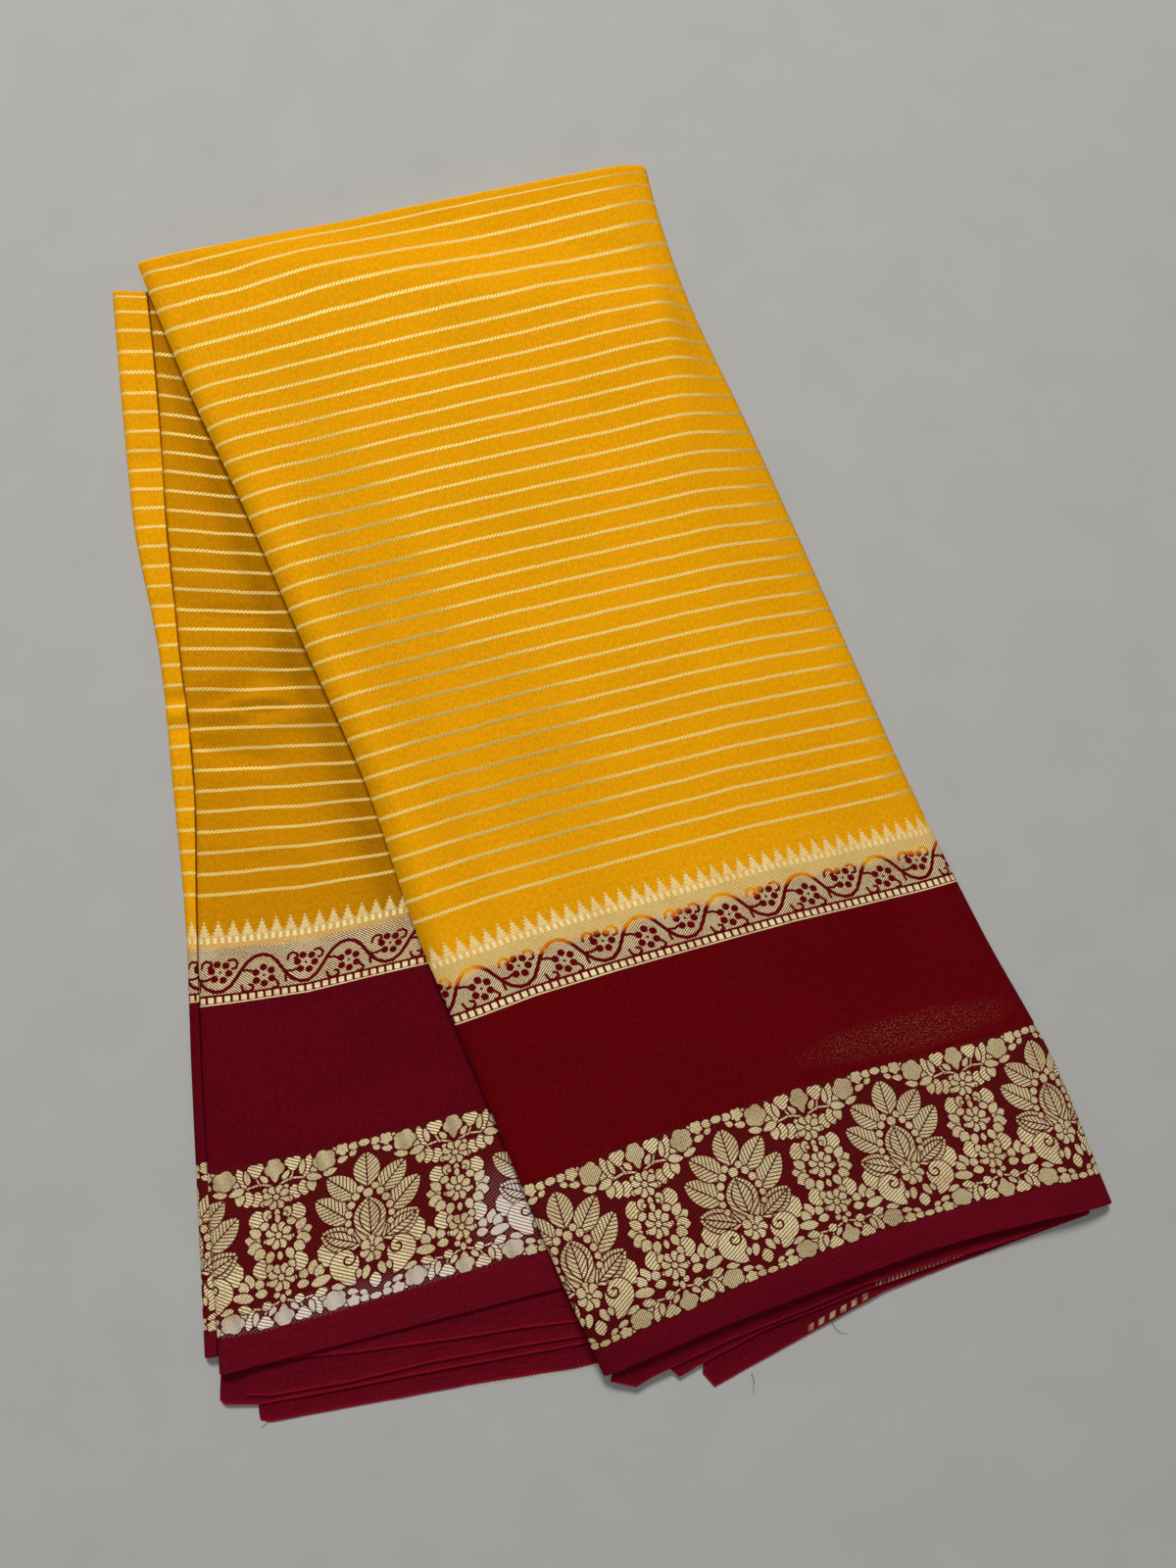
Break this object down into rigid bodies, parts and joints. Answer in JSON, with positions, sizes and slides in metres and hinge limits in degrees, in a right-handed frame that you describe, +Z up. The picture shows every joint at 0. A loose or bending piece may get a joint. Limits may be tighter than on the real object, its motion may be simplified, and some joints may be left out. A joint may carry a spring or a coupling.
{
  "type": "folded saree",
  "caption": "Folded saree in striped yellow cloth with a wide maroon border and woven gold bands, lying flat as two fanned stacks",
  "frame": {"origin": "the middle of the underside of the folded saree", "axes": "+Z up from the surface it lies on; +Y from the hems towards the doubled edge; +X to the right as seen from above with the hems nearest"},
  "size_m": [0.5044, 0.627, 0.0222],
  "materials": {
    "field_cloth": "matte crepe with fine gold thread stripes",
    "border_cloth": "matte crepe, deep maroon",
    "zari_cloth": "woven gold thread on maroon, soft metallic sheen"
  },
  "bodies": {
    "root": {"upper_striped_field": "field_cloth", "upper_vine_band": "zari_cloth", "upper_plain_border": "border_cloth", "upper_lotus_band": "zari_cloth", "upper_hem_margin": "border_cloth", "upper_hidden_layers": "border_cloth", "lower_striped_field": "field_cloth", "lower_vine_band": "zari_cloth", "lower_plain_border": "border_cloth", "lower_lotus_band": "zari_cloth", "lower_hem_margin": "border_cloth", "lower_hidden_layers": "border_cloth", "side_fold_striped_field": "field_cloth", "side_fold_vine_band": "zari_cloth", "side_fold_plain_border": "border_cloth", "side_fold_lotus_band": "zari_cloth", "side_fold_hem_margin": "border_cloth", "lower_hem_1": "border_cloth", "lower_hem_2": "border_cloth", "lower_hem_3": "border_cloth", "lower_hem_4": "border_cloth", "upper_hem_1": "border_cloth", "upper_hem_2": "border_cloth", "upper_hem_3": "border_cloth"}
  },
  "joints": []
}
